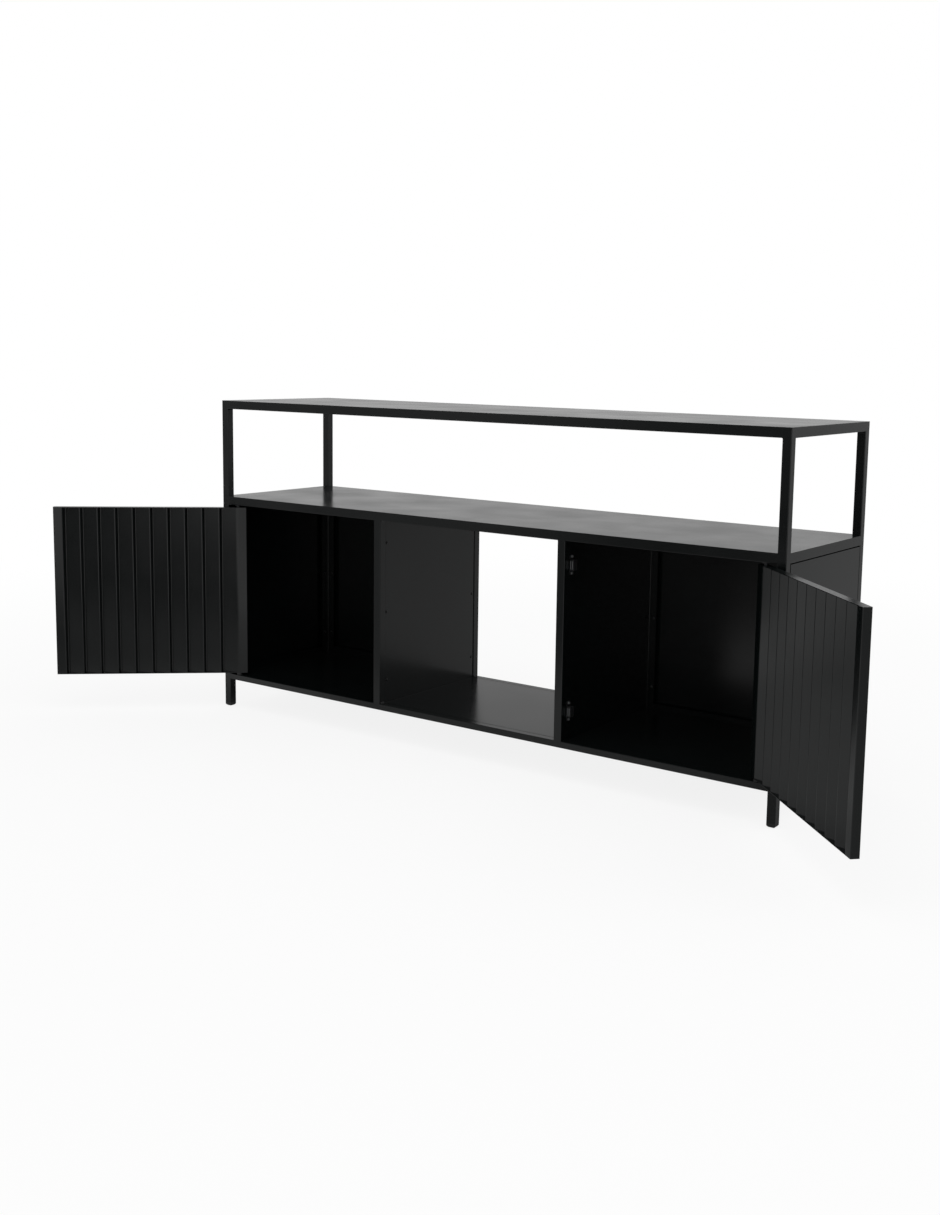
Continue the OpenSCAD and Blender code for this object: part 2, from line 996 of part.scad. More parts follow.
corner_post(LEFT, 0);  // front_left_post
corner_post(RIGHT, 0);  // front_right_post
corner_post(LEFT, overall_d - tube);  // rear_left_post
corner_post(RIGHT, overall_d - tube);  // rear_right_post
foot_glides();
top_front_rail();
top_rear_rail();
end_rail(LEFT, top_rail_z, tube);  // top_left_rail
end_rail(RIGHT, top_rail_z, tube);  // top_right_rail
top_cross_rails();
top_panel();
shelf_front_rail();
shelf_rear_rail();
end_rail(LEFT, shelf_rail_z, tube);  // shelf_left_rail
end_rail(RIGHT, shelf_rail_z, tube);  // shelf_right_rail
shelf_cross_rails();
shelf_panel();
base_front_rail();
base_rear_rail();
end_rail(LEFT, leg_h, base_rail_h);  // base_left_rail
end_rail(RIGHT, leg_h, base_rail_h);  // base_right_rail
base_cross_rails();
left_floor_panel();
centre_floor_panel();
right_floor_panel();
floor_ledges();
divider_post(LEFT, 0);  // left_divider_front_post
divider_post(LEFT, overall_d - tube);  // left_divider_rear_post
divider_pan(LEFT);  // left_divider_pan
divider_cover(LEFT);  // left_divider_cover
divider_post(RIGHT, 0);  // right_divider_front_post
divider_post(RIGHT, overall_d - tube);  // right_divider_rear_post
divider_pan(RIGHT);  // right_divider_pan
divider_cover(RIGHT);  // right_divider_cover
side_panel(LEFT);  // left_side_panel
side_panel(RIGHT);  // right_side_panel
back_panel(LEFT);  // left_back_panel
back_panel(RIGHT);  // right_back_panel
side_panel_ledges();
back_panel_ledges();
panel_screws();
weld_fillets();
upper_pivot_bushes();
lower_pivot_bushes();
catch_plates();
catch_housings();
catch_magnets();
catch_screws();
door_pan(LEFT);  // left_door_pan
door_front_sheet(LEFT);  // left_door_front_sheet
door_hinge_stile(LEFT);  // left_door_hinge_stile
door_latch_stile(LEFT);  // left_door_latch_stile
door_pivot_pins(LEFT);  // left_door_pivot_pins
door_pan(RIGHT);  // right_door_pan
door_front_sheet(RIGHT);  // right_door_front_sheet
door_hinge_stile(RIGHT);  // right_door_hinge_stile
door_latch_stile(RIGHT);  // right_door_latch_stile
door_pivot_pins(RIGHT);  // right_door_pivot_pins
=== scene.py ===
"""Sideboard buffet in black powder-coated steel, dressed and set up in a plain studio.

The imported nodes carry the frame, the panels and the dividers. The doors' folded skins, the
magnetic catches, the screws and the ground welds are made here as finer pieces.
"""

import sys

import json
import logging
import math
from collections.abc import Iterable, Sequence
from dataclasses import dataclass, replace
from enum import Enum

import bmesh
import bpy
from mathutils import Matrix, Vector

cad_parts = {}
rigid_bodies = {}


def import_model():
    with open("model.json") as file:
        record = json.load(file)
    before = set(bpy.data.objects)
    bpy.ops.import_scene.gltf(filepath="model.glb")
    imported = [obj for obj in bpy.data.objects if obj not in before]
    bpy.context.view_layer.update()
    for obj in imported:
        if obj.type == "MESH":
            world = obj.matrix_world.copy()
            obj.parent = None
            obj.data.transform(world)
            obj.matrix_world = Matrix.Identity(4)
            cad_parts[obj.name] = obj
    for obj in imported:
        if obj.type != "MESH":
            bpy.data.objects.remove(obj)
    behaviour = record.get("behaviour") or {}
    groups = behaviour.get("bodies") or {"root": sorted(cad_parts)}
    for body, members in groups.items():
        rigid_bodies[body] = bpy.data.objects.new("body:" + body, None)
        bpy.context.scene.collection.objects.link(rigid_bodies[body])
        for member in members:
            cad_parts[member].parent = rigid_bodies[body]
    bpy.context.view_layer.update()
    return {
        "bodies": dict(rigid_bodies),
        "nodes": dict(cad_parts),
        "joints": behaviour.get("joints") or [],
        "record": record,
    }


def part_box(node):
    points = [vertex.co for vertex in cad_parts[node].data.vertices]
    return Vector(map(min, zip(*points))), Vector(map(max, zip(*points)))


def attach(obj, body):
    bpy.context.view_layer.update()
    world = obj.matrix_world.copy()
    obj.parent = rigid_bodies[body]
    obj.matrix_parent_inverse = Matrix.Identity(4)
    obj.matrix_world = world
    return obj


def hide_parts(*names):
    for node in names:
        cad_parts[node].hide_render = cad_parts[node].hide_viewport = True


LOG = logging.getLogger("sideboard")
MM = 0.001
TINY = 0.001 * MM

Point = tuple[float, float]
Colour = tuple[float, float, float]
Spot = tuple[float, float, float]
Frame = dict[str, object]
Socket = bpy.types.NodeSocket
Solid = bmesh.types.BMesh
Box = tuple[Vector, Vector]
Groove = tuple[Spot, Spot, Spot, Spot]


class Side(Enum):
    """A half of the cabinet, as the sign of its x."""

    LEFT = -1
    RIGHT = 1

    @property
    def word(self) -> str:
        """The side's name in node names."""
        return self.name.lower()


# How far each door stands open at rest, in degrees.
OPEN_ANGLES = {Side.LEFT: 138.0, Side.RIGHT: 136.5}


class Slot(Enum):
    """The record's material slots."""

    TUBE = "black_tube"
    SHEET = "black_sheet"
    PLASTIC = "black_plastic"
    CATCH = "catch_grey"
    STEEL = "bright_steel"
    SCREWS = "black_screws"


def put(name: str, data: bpy.types.ID) -> bpy.types.Object:
    """Makes an object of its data and puts it in the scene."""
    made = bpy.data.objects.new(name, data)
    bpy.context.scene.collection.objects.link(made)
    return made


# ------------------------ node graphs


class Graph:
    """A material's or a world's node tree, with short ways to add and join nodes."""

    def __init__(self, tree: bpy.types.NodeTree) -> None:
        """Takes the tree that it fills, and empties it."""
        self.tree = tree
        tree.nodes.clear()

    def add(self, kind: str, **settings: object) -> bpy.types.Node:
        """Adds a node.

        Args:
            kind: the node's type name, without its prefix.
            settings: attributes of the node, such as its operation.

        Returns:
            The new node.
        """
        node = self.tree.nodes.new(f"ShaderNode{kind}")
        for name, value in settings.items():
            setattr(node, name, value)
        return node

    def join(self, source: Socket, target: Socket) -> None:
        """Links an output to an input."""
        self.tree.links.new(source, target)

    def math(self, operation: str, *inputs: object) -> Socket:
        """Adds a Math node.

        Args:
            operation: the node's operation.
            inputs: sockets or numbers, in the node's order.

        Returns:
            The node's output.
        """
        node = self.add("Math", operation=operation)
        self.fill(node, inputs)
        return node.outputs[0]

    def fill(self, node: bpy.types.Node, inputs: Iterable[object]) -> None:
        """Sets a node's first inputs.

        Args:
            node: the node.
            inputs: a socket to link, or a value to set, for each input.
        """
        for socket, value in zip(node.inputs, inputs):
            if isinstance(value, Socket):
                self.join(value, socket)
            else:
                socket.default_value = value

    def axes(self, vector: Socket) -> list[Socket]:
        """A vector's x, y and z."""
        node = self.add("SeparateXYZ")
        self.join(vector, node.inputs[0])
        return list(node.outputs)

    def distance(self, place: Socket, centre: Spot = (0.0, 0.0, 0.0)) -> Socket:
        """How far a place lies from a centre.

        Args:
            place: the place.
            centre: the centre.

        Returns:
            The distance.
        """
        node = self.add("VectorMath", operation="DISTANCE")
        self.fill(node, [place, centre])
        return node.outputs["Value"]

    def end(self, kind: str, shader: Socket) -> None:
        """Adds the output node and links a shader to it."""
        self.join(shader, self.add(kind).inputs[0])

    def noise(self, place: Socket, scale: float, detail: float = 2.0) -> Socket:
        """Adds a noise texture.

        Args:
            place: the coordinates.
            scale: features per metre.
            detail: octaves.

        Returns:
            The noise, from 0 to 1.
        """
        node = self.add("TexNoise")
        self.join(place, node.inputs["Vector"])
        node.inputs["Scale"].default_value = scale
        node.inputs["Detail"].default_value = detail
        return node.outputs[0]

    def remap(self, value: Socket, source: Point, target: Point,
              smooth: bool = False) -> Socket:
        """Maps one range on another, clamped.

        Args:
            value: what to map.
            source: the range that comes in.
            target: the range that goes out.
            smooth: eases both ends.

        Returns:
            The mapped value.
        """
        kind = "SMOOTHSTEP" if smooth else "LINEAR"
        node = self.add("MapRange", interpolation_type=kind)
        self.fill(node, [value, *source, *target])
        return node.outputs[0]

    def blend(self, share: Socket, first: Colour, second: Colour) -> Socket:
        """Mixes two colours.

        Args:
            share: how much of the second colour, from 0 to 1.
            first: the colour at 0.
            second: the colour at 1.

        Returns:
            The mixed colour.
        """
        node = self.add("Mix", data_type="RGBA")
        self.join(share, node.inputs[0])
        node.inputs[6].default_value = (*first, 1.0)
        node.inputs[7].default_value = (*second, 1.0)
        return node.outputs[2]


# ------------------------ finishes


@dataclass(frozen=True)
class Finish:
    """A surface finish that builds one procedural material.

    The colour drifts between two shades, a fine speckle lies over it, the gloss varies in
    soft patches, and a fine bump gives the paint or the metal its skin. Scales are in
    features per metre, and shares say how far an effect moves the colour to its drift.
    """

    name: str
    slot: Slot
    colour: Colour
    drift: Colour
    roughness: Point
    ior: float
    skin_size: float
    skin_depth: float
    metallic: float = 0.0
    dust: float = 0.0
    dust_scale: float = 24.0
    patch_scale: float = 7.0
    drift_scale: float = 3.0
    drift_share: float = 0.7
    speckle_scale: float = 900.0
    speckle_share: float = 0.3
    skin_strength: float = 0.5

    def material(self) -> bpy.types.Material:
        """The finish's material, made once.

        Returns:
            The material.
        """
        found = bpy.data.materials.get(self.name)
        if found:
            return found
        material = bpy.data.materials.new(self.name)
        material.use_nodes = True
        graph = Graph(material.node_tree)
        place = graph.add("TexCoord").outputs["Object"]
        shader = graph.add("BsdfPrincipled")
        shader.inputs["IOR"].default_value = self.ior
        shader.inputs["Metallic"].default_value = self.metallic
        graph.join(self.tint(graph, place), shader.inputs["Base Color"])
        patches = graph.noise(place, self.patch_scale, 3.0)
        graph.join(graph.remap(patches, (0.3, 0.7), self.roughness), shader.inputs["Roughness"])
        graph.join(self.skin(graph, place), shader.inputs["Normal"])
        graph.end("OutputMaterial", shader.outputs[0])
        material.diffuse_color = (*self.colour, 1.0)
        return material

    def tint(self, graph: Graph, place: Socket) -> Socket:
        """The base colour, with its drift, its speckle and the dust on what faces up.

        Args:
            graph: the material's nodes.
            place: the coordinates.

        Returns:
            The colour.
        """
        shades = graph.noise(place, self.drift_scale)
        drift = graph.remap(shades, (0.35, 0.65), (0.0, self.drift_share))
        grains = graph.noise(place, self.speckle_scale, 1.0)
        speckle = graph.remap(grains, (0.55, 0.75), (0.0, self.speckle_share))
        share = graph.math("ADD", drift, speckle)
        if self.dust:
            up = graph.axes(graph.add("NewGeometry").outputs["Normal"])[2]
            facing = graph.remap(up, (0.7, 1.0), (0.0, self.dust))
            clouds = graph.noise(place, self.dust_scale, 4.0)
            film = graph.remap(clouds, (0.3, 0.8), (0.5, 1.0))
            share = graph.math("ADD", share, graph.math("MULTIPLY", facing, film))
        return graph.blend(share, self.colour, self.drift)

    def skin(self, graph: Graph, place: Socket) -> Socket:
        """The bump of the surface's skin.

        Args:
            graph: the material's nodes.
            place: the coordinates.

        Returns:
            The bent normal.
        """
        bump = graph.add("Bump")
        bump.inputs["Strength"].default_value = self.skin_strength
        bump.inputs["Distance"].default_value = self.skin_depth
        graph.join(graph.noise(place, 1.0 / self.skin_size, 2.0), bump.inputs["Height"])
        return bump.outputs[0]


TUBE_COAT = Finish("powder_coat_on_tube", Slot.TUBE, (0.0015, 0.0024, 0.0024),
                   (0.0032, 0.0044, 0.0044), (0.18, 0.24), 1.5, 2.2 * MM, 0.013 * MM, dust=0.5)
SHEET_COAT = replace(TUBE_COAT, name="powder_coat_on_sheet", slot=Slot.SHEET,
                     skin_size=2.6 * MM)
GLIDE_PLASTIC = Finish("moulded_black_plastic", Slot.PLASTIC, (0.011, 0.011, 0.0115),
                       (0.018, 0.018, 0.019), (0.42, 0.52), 1.46, 0.5 * MM, 0.015 * MM)
CATCH_PLASTIC = Finish("moulded_catch_plastic", Slot.CATCH, (0.009, 0.0095, 0.01),
                       (0.014, 0.0145, 0.015), (0.38, 0.46), 1.46, 0.5 * MM, 0.012 * MM)
ZINC_STEEL = Finish("bright_zinc_steel", Slot.STEEL, (0.4, 0.41, 0.42),
                    (0.31, 0.32, 0.335), (0.3, 0.4), 1.5, 0.6 * MM, 0.008 * MM, metallic=1.0)
# The pivot pins' steel, darkened to near black so that their glint comes out dim.
PIN_STEEL = Finish("oiled_pin_steel", Slot.STEEL, (0.05, 0.051, 0.053),
                   (0.035, 0.036, 0.038), (0.34, 0.44), 1.5, 0.6 * MM, 0.008 * MM, metallic=1.0)
BLACK_SCREW = Finish("blackened_screw_steel", Slot.SCREWS, (0.003, 0.0035, 0.0035),
                     (0.007, 0.0075, 0.0075), (0.24, 0.34), 1.5, 0.6 * MM, 0.008 * MM)
FINISHES = {finish.slot.value: finish for finish in
            (TUBE_COAT, SHEET_COAT, GLIDE_PLASTIC, CATCH_PLASTIC, ZINC_STEEL, BLACK_SCREW)}


# ------------------------ mesh work


class Bench:
    """Mesh building that every sub-assembly shares."""

    @staticmethod
    def mesh(name: str, solid: Solid) -> bpy.types.Mesh:
        """Turns a solid into a mesh.

        Args:
            name: the mesh's name.
            solid: the solid, which is freed.

        Returns:
            The mesh.
        """
        mesh = bpy.data.meshes.new(name)
        solid.to_mesh(mesh)
        solid.free()
        return mesh

    @staticmethod
    def loft(lower: Sequence[Sequence[float]], upper: Sequence[Sequence[float]]) -> Solid:
        """A closed solid between two outlines.

        Args:
            lower: the corners of one end, counter-clockwise as the other end sees them.
            upper: the corners of the other end, in the same order.

        Returns:
            The solid.
        """
        solid = bmesh.new()
        low = [solid.verts.new(corner) for corner in lower]
        high = [solid.verts.new(corner) for corner in upper]
        solid.faces.new(list(reversed(low)))
        solid.faces.new(high)
        for i in range(len(low)):
            j = (i + 1) % len(low)
            solid.faces.new((low[i], low[j], high[j], high[i]))
        return solid

    @staticmethod
    def prism(section: Sequence[Point], start: float, end: float) -> Solid:
        """A closed prism along z, from a counter-clockwise outline."""
        return Bench.loft([(x, y, start) for x, y in section], [(x, y, end) for x, y in section])

    @staticmethod
    def lathe(profile: Sequence[Point], steps: int) -> Solid:
        """A closed solid of revolution round z.

        Args:
            profile: points as radius and height; the first and the last lie on the axis.
            steps: segments round the axis.

        Returns:
            The solid.
        """
        solid = bmesh.new()
        foot = solid.verts.new((0, 0, profile[0][1]))
        head = solid.verts.new((0, 0, profile[-1][1]))
        turns = [2 * math.pi * i / steps for i in range(steps)]
        rings = [[solid.verts.new((radius * math.cos(t), radius * math.sin(t), height))
                  for t in turns] for radius, height in profile[1:-1]]
        for i in range(steps):
            j = (i + 1) % steps
            solid.faces.new((foot, rings[0][j], rings[0][i]))
            solid.faces.new((head, rings[-1][i], rings[-1][j]))
            for low, top in zip(rings, rings[1:]):
                solid.faces.new((low[i], low[j], top[j], top[i]))
        return solid

    @staticmethod
    def bevel(solid: Solid, edges: list[bmesh.types.BMEdge], radius: float, steps: int) -> None:
        """Rounds some edges of a solid."""
        bmesh.ops.bevel(solid, geom=edges, offset=radius, segments=steps, profile=0.5,
                        affect="EDGES", clamp_overlap=True)

    @staticmethod
    def block(low: Sequence[float], high: Sequence[float], round_off: float = 0.0,
              steps: int = 3) -> Solid:
        """A block with rounded edges.

        Args:
            low: the lowest corner.
            high: the highest corner.
            round_off: the radius of the edges.
            steps: segments of the rounding.

        Returns:
            The block.
        """
        outline = [(low[0], low[1]), (high[0], low[1]), (high[0], high[1]), (low[0], high[1])]
        solid = Bench.prism(outline, low[2], high[2])
        if round_off:
            Bench.bevel(solid, list(solid.edges), round_off, steps)
        return solid

    @staticmethod
    def move(solid: Solid, place: Matrix) -> Solid:
        """Moves a solid, with its faces turned where it is mirrored.

        Args:
            solid: the solid.
            place: where it goes.

        Returns:
            The same solid.
        """
        solid.transform(place)
        if place.determinant() < 0:
            bmesh.ops.reverse_faces(solid, faces=list(solid.faces))
        return solid

    @staticmethod
    def merge(target: Solid, part: Solid) -> None:
        """Adds a part to a mesh, and frees the part.

        Args:
            target: the mesh that grows.
            part: what is added.
        """
        copy = Bench.mesh("part", part)
        target.from_mesh(copy)
        bpy.data.meshes.remove(copy)

    @staticmethod
    def cut(body: Solid, tool: Solid, operation: str = "DIFFERENCE") -> Solid:
        """Cuts or joins two closed solids exactly, and frees both.

        Args:
            body: the solid that is worked on.
            tool: the solid that cuts it, or joins it.
            operation: the boolean operation.

        Returns:
            The result.
        """
        objects = []
        for solid in (body, tool):
            bmesh.ops.recalc_face_normals(solid, faces=list(solid.faces))
            objects.append(put("solid", Bench.mesh("solid", solid)))
        boolean = objects[0].modifiers.new("cut", "BOOLEAN")
        boolean.operation = operation
        boolean.solver = "EXACT"
        boolean.object = objects[1]
        shaped = objects[0].evaluated_get(bpy.context.evaluated_depsgraph_get())
        result = bmesh.new()
        result.from_mesh(shaped.to_mesh())
        shaped.to_mesh_clear()
        for one in objects:
            bpy.data.meshes.remove(one.data)
        return result

    @staticmethod
    def soften(solid: Solid, radius: float, steps: int = 2, least: float = 60.0) -> None:
        """Rounds the sharp edges of a solid.

        Args:
            solid: the solid.
            radius: the rounding.
            steps: its segments.
            least: edges that turn by fewer degrees than this stay as they are.
        """
        bmesh.ops.dissolve_degenerate(solid, dist=TINY, edges=list(solid.edges))
        sharp = [edge for edge in solid.edges if len(edge.link_faces) == 2
                 and edge.calc_face_angle(0.0) > math.radians(least)]
        Bench.bevel(solid, sharp, radius, steps)

    @staticmethod
    def piece(name: str, solid: Solid, finish: Finish, body: str, *nodes: str,
              crease: float = 32.0) -> bpy.types.Object:
        """Turns a finished solid into a piece of the part.

        Args:
            name: the piece's name.
            solid: its mesh, in the part's frame, which is freed.
            finish: its finish.
            body: the body that it rides on.
            nodes: the nodes that it stands for.
            crease: faces that meet at more than this many degrees stay sharp.

        Returns:
            The piece.
        """
        mesh = Bench.mesh(name, solid)
        mesh.polygons.foreach_set("use_smooth", [True] * len(mesh.polygons))
        mesh.set_sharp_from_angle(angle=math.radians(crease))
        mesh.materials.append(finish.material())
        made = put(name, mesh)
        made.modifiers.new("flat_faces", "WEIGHTED_NORMAL").keep_sharp = True
        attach(made, body)
        if nodes:
            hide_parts(*nodes)
        LOG.info("%s: %d faces on body %s", name, len(mesh.polygons), body)
        return made


class Bend:
    """Lines of folded sheet metal, as points along and across the sheet."""

    # The most of a straight stretch that the rounding at one of its ends takes up.
    ROOM = 0.45

    @staticmethod
    def offset(line: Sequence[Point], distance: float) -> list[Point]:
        """The other side of a sheet.

        Args:
            line: one side.
            distance: the sheet's thickness, to the left of the line's way.

        Returns:
            One point behind each point of the line.
        """
        points = [Vector(p) for p in line]
        across = [(b - a).normalized().orthogonal() for a, b in zip(points, points[1:])]
        pairs = zip(points, across[:1] + across, across + across[-1:])
        return [tuple(p + distance * (m + n) / (1 + m.dot(n))) for p, m, n in pairs]

    @staticmethod
    def rounded(line: Sequence[Point], crest: float, valley: float, steps: int = 6) -> list[Point]:
        """A line with its folds rounded.

        Args:
            line: the sharp line, with the depth of each point as its second number.
            crest: how far from a crest its rounding starts.
            valley: the same for a valley.
            steps: segments of a rounding.

        Returns:
            The line's points.
        """
        points = [Vector(p) for p in line]
        done = [points[0]]
        for before, fold, after in zip(points, points[1:], points[2:]):
            room = Bend.ROOM * min((before - fold).length, (after - fold).length)
            radius = min(room, crest if fold.y < (before.y + after.y) / 2 else valley)
            start = fold + (before - fold).normalized() * radius
            end = fold + (after - fold).normalized() * radius
            for i in range(steps + 1):
                t = i / steps
                done.append((1 - t) ** 2 * start + 2 * t * (1 - t) * fold + t * t * end)
        return [tuple(p) for p in done + [points[-1]]]


# ------------------------ sub-assemblies


@dataclass
class CarriedNodes:
    """The nodes that are shown as they come, each with the finish of its slot."""

    frame: Frame

    def dress(self) -> None:
        """Gives every node its finish and keeps its flat faces flat beside the rounded edges."""
        for part in self.frame["record"]["subparts"]:
            node = self.frame["nodes"][part["node"]]
            pin = part["node"].endswith("_pivot_pins")
            finish = PIN_STEEL if pin else FINISHES[part["material_slot"]]
            node.data.materials.clear()
            node.data.materials.append(finish.material())
            node.modifiers.new("joined_seams", "WELD").merge_threshold = TINY
            node.modifiers.new("flat_faces", "WEIGHTED_NORMAL").keep_sharp = True
            LOG.info("%s: dressed as %s", part["node"], finish.name)


@dataclass(frozen=True)
class CabinetLines:
    """The cabinet's plan lines."""

    left: float
    right: float
    front: float
    rear: float
    tube: float

    @classmethod
    def read(cls) -> "CabinetLines":
        """Reads the lines from two corner posts.

        Returns:
            The lines.
        """
        low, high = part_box("front_left_post")
        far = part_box("rear_right_post")[1]
        return cls(low.x, far.x, low.y, far.y, high.x - low.x)

    def ends(self) -> tuple[Point, Point]:
        """The left and the right end: x, and the sign of the way inward."""
        return (self.left, 1), (self.right, -1)

    def faces(self) -> tuple[Point, Point]:
        """The front and the rear: y, and the sign of the way inward."""
        return (self.front, 1), (self.rear, -1)


@dataclass
class ReededDoor:
    """A double-skin door: a reeded pan with folded edges and closed ends, and a reeded front
    sheet set flush inside its rim.

    It is built closed, with its pivot at x = y = 0. Each crest and valley is given by how far
    from the fold its rounding starts.
    """

    side: Side
    open_angle: float
    pivot: Vector
    sill: float
    width: float = 491.333 * MM
    height: float = 440.0 * MM
    thickness: float = 18.0 * MM
    pivot_inset: float = 21.5 * MM
    band: float = 24.5 * MM
    reeds: int = 10
    reed_depth: float = 11.5 * MM
    front_depth: float = 2.5 * MM
    riser: float = 3.0 * MM
    crest: float = 4.5 * MM
    valley: float = 3.0 * MM
    sheet: float = 1.2 * MM
    corner: float = 1.5 * MM
    joint: float = 0.2 * MM
    pan_round: float = 0.35 * MM
    front_round: float = 0.25 * MM

    @property
    def near(self) -> float:
        """The hinge edge."""
        return -self.pivot_inset

    @property
    def far(self) -> float:
        """The free edge."""
        return self.width - self.pivot_inset

    def place(self) -> Matrix:
        """Where the closed, left-hand door goes.

        Returns:
            The matrix from the door's own frame to the part's frame.
        """
        turn = Matrix.Rotation(-math.radians(self.open_angle), 4, "Z")
        mirror = Matrix.Scale(-self.side.value, 4, (1, 0, 0))
        return Matrix.Translation(self.pivot) @ mirror @ turn

    def reed_line(self, inset: float, depth: float) -> list[Point]:
        """The sharp-folded face of a reeded sheet.

        Each reed slopes down from its crest towards the free edge and comes back up in a
        steep side.

        Args:
            inset: how far inside the door's edges it starts and ends.
            depth: the reeds' depth.

        Returns:
            Points as x and the depth below the flat bands.
        """
        first = self.near + self.band
        pitch = (self.width - 2 * self.band) / self.reeds
        line = [(self.near + inset, 0.0)]
        for i in range(self.reeds):
            crest = first + i * pitch
            line += [(crest, 0.0), (crest + pitch - self.riser, depth)]
        return line + [(self.far - self.band, 0.0), (self.far - inset, 0.0)]

    def skins(self, inset: float, depth: float) -> tuple[list[Point], list[Point]]:
        """Both sides of a reeded sheet.

        Args:
            inset: how far inside the door's edges it starts and ends.
            depth: the reeds' depth.

        Returns:
            The face and the back, with their folds rounded.
        """
        line = self.reed_line(inset, depth)
        face = Bend.rounded(line, self.crest, self.valley)
        back = Bend.rounded(Bend.offset(line, self.sheet), self.valley, self.crest)
        return face, back

    def arc(self, along: int, across: int, start: float, end: float,
            steps: int = 5) -> list[Point]:
        """Points round a rounded edge.

        Args:
            along: -1 for the hinge edge, 1 for the free edge.
            across: -1 for the front, 1 for the reeded face.
            start: the first angle, in degrees.
            end: the last angle.
            steps: segments.

        Returns:
            The points.
        """
        r = self.corner
        x = self.far - r if along > 0 else self.near + r
        y = across * (self.thickness / 2 - r)
        turns = [math.radians(start + (end - start) * i / steps) for i in range(steps + 1)]
        return [(x + r * math.cos(t), y + r * math.sin(t)) for t in turns]

    def pan_section(self) -> list[Point]:
        """The pan between its ends: a wide channel whose web is reeded.

        Returns:
            The outline, counter-clockwise.
        """
        half, r = self.thickness / 2, self.corner
        tip = math.degrees(math.acos((r - self.sheet) / r))
        face = self.skins(r, self.reed_depth)[0]
        inner = self.skins(self.sheet, self.reed_depth)[1]
        outline = self.arc(1, -1, -tip, 0) + self.arc(1, 1, 0, 90)
        outline += [(x, half - depth) for x, depth in reversed(face[1:-1])]
        outline += self.arc(-1, 1, 90, 180) + self.arc(-1, -1, 180, 180 + tip)
        outline += [(x, half - depth) for x, depth in inner]
        return outline

    def end_plate(self) -> list[Point]:
        """The outline of a closed end, counter-clockwise."""
        return (self.arc(1, -1, -90, 0) + self.arc(1, 1, 0, 90)
                + self.arc(-1, 1, 90, 180) + self.arc(-1, -1, 180, 270))

    def build_pan(self) -> Solid:
        """The pan with both ends.

        Returns:
            The solid, in the part's frame.
        """
        top = self.sill + self.height
        overlap = self.sheet / 2
        pan = Bench.prism(self.pan_section(), self.sill + overlap, top - overlap)
        for start, end in ((self.sill, self.sill + self.sheet), (top - self.sheet, top)):
            pan = Bench.cut(pan, Bench.prism(self.end_plate(), start, end), "UNION")
        Bench.soften(pan, self.pan_round)
        return Bench.move(pan, self.place())

    def build_front(self) -> Solid:
        """The front sheet inside the rim.

        Returns:
            The solid, in the part's frame.
        """
        inset = self.sheet + self.joint
        half = self.thickness / 2
        face, back = self.skins(inset, self.front_depth)
        outline = [(x, -half + depth) for x, depth in face]
        outline += [(x, -half + depth) for x, depth in reversed(back)]
        front = Bench.prism(outline, self.sill + inset, self.sill + self.height - inset)
        Bench.soften(front, self.front_round)
        return Bench.move(front, self.place())

    def build(self) -> None:
        """Builds both skins and dresses them."""
        door = f"{self.side.word}_door"
        Bench.piece(f"{door}_reeded_pan", self.build_pan(), SHEET_COAT, door, f"{door}_pan")
        Bench.piece(f"{door}_reeded_front", self.build_front(), SHEET_COAT, door,
                    f"{door}_front_sheet")


@dataclass
class PanHeadScrew:
    """A pan-head screw with a cross recess, its head on z = 0 and its shank along -z.

    The fields from rim_share to arm_waist are shares of its own sizes, and a power.
    """

    head: float = 7.0 * MM
    rise: float = 2.0 * MM
    shank: float = 4.0 * MM
    length: float = 7.0 * MM
    recess: float = 1.3 * MM
    recess_w: float = 0.9 * MM
    recess_l: float = 4.2 * MM
    above: float = 0.1 * MM
    rim_share: float = 0.35
    seat_share: float = 0.97
    edge_share: float = 0.12
    tip_share: float = 0.6
    tip_start: float = 0.85
    dome_power: float = 0.8
    arm_taper: float = 0.45
    arm_waist: float = 0.7
    steps: int = 28

    def profile(self) -> list[Point]:
        """Half the screw's section, from its tip to the top of its dome.

        Returns:
            Points as radius and height.
        """
        r = self.head / 2
        rim = self.rim_share * self.rise
        turns = [math.radians(a) for a in (0, 18, 36, 54, 72)]
        dome = [(r * math.cos(t) ** self.dome_power, rim + (self.rise - rim) * math.sin(t))
                for t in turns]
        return [(0, -self.length), (self.shank / 2 * self.tip_share, -self.length),
                (self.shank / 2, -self.length * self.tip_start), (self.shank / 2, 0),
                (r * self.seat_share, 0), (r, self.edge_share * self.rise), *dome,
                (0, self.rise)]

    def recess_arm(self, turn: float) -> Solid:
        """One of the two crossed wedges that cut the recess.

        Args:
            turn: its angle round the screw's axis.

        Returns:
            The wedge, narrower and shorter at its foot.
        """
        ends = []
        for z, long, wide in ((self.rise - self.recess, self.arm_taper, self.arm_waist),
                              (self.rise + self.above, 1.0, 1.0)):
            x, y = self.recess_l * long / 2, self.recess_w / 2 * wide
            ends.append([(-x, -y, z), (x, -y, z), (x, y, z), (-x, y, z)])
        arm = Bench.loft(*ends)
        arm.transform(Matrix.Rotation(turn, 4, "Z"))
        return arm

    def build(self) -> Solid:
        """The screw.

        Returns:
            The solid.
        """
        screw = Bench.lathe(self.profile(), self.steps)
        for turn in (0.0, math.pi / 2):
            screw = Bench.cut(screw, self.recess_arm(turn))
        return screw


def node_mesh(node: str) -> bpy.types.Mesh:
    """The mesh of a node."""
    return bpy.data.objects[node].data


def span(points: Sequence[Vector]) -> Box:
    """The lowest and the highest corner of the box round some points."""
    return (Vector([min(p[i] for p in points) for i in range(3)]),
            Vector([max(p[i] for p in points) for i in range(3)]))


